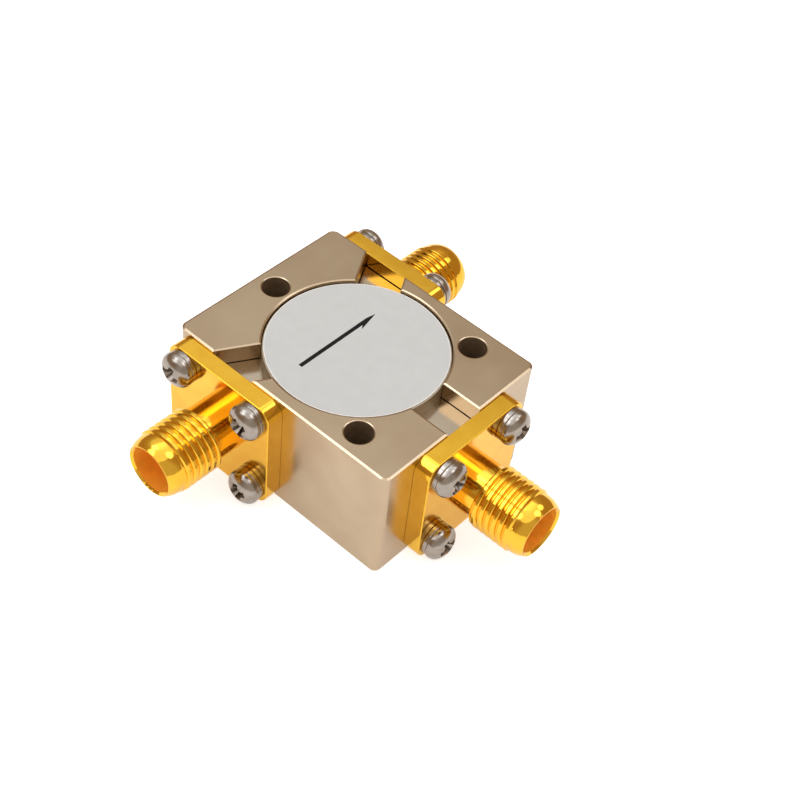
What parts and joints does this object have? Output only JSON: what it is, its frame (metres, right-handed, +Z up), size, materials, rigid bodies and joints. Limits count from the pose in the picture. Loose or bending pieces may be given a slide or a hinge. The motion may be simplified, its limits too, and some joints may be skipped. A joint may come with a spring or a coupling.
{
  "type": "rf circulator",
  "caption": "Small coaxial circulator: plated metal block with a round labelled cover in a recess, radial slots, mounting holes and flanged threaded coaxial sockets on its sides.",
  "frame": {"origin": "on the mounting face, below the axis of the round cavity", "axes": "+Z up out of the label, +X out of the front port, -Y out of the left port, +Y out of the right port"},
  "size_m": [0.0353, 0.0398, 0.0127],
  "materials": {
    "nickel_housing": "satin nickel plating",
    "nickel_plate": "satin nickel plating",
    "nickel_cover": "satin nickel plating",
    "label_film": "matt printed film",
    "gold_body": "bright gold plating on brass",
    "gold_contact": "gold plating on brass",
    "white_insulator": "white fluoropolymer",
    "screw_steel": "bright stainless steel",
    "washer_steel": "bright stainless steel",
    "magnet": "sintered magnet",
    "pole_steel": "ground steel",
    "ferrite": "ground microwave ferrite",
    "conductor_copper": null
  },
  "bodies": {
    "root": {"housing": "nickel_housing", "lower_magnet": "magnet", "lower_pole_plate": "pole_steel", "lower_ferrite": "ferrite", "centre_conductor": "conductor_copper", "upper_ferrite": "ferrite", "upper_pole_plate": "pole_steel", "upper_magnet": "magnet", "shield_plate": "nickel_plate", "round_cover": "nickel_cover", "label": "label_film", "front_connector_body": "gold_body", "front_insulator": "white_insulator", "front_contact": "gold_contact", "front_screws": "screw_steel", "front_lock_washers": "washer_steel", "left_connector_body": "gold_body", "left_insulator": "white_insulator", "left_contact": "gold_contact", "left_screws": "screw_steel", "left_lock_washers": "washer_steel", "right_connector_body": "gold_body", "right_insulator": "white_insulator", "right_contact": "gold_contact", "right_screws": "screw_steel", "right_lock_washers": "washer_steel"}
  },
  "joints": []
}
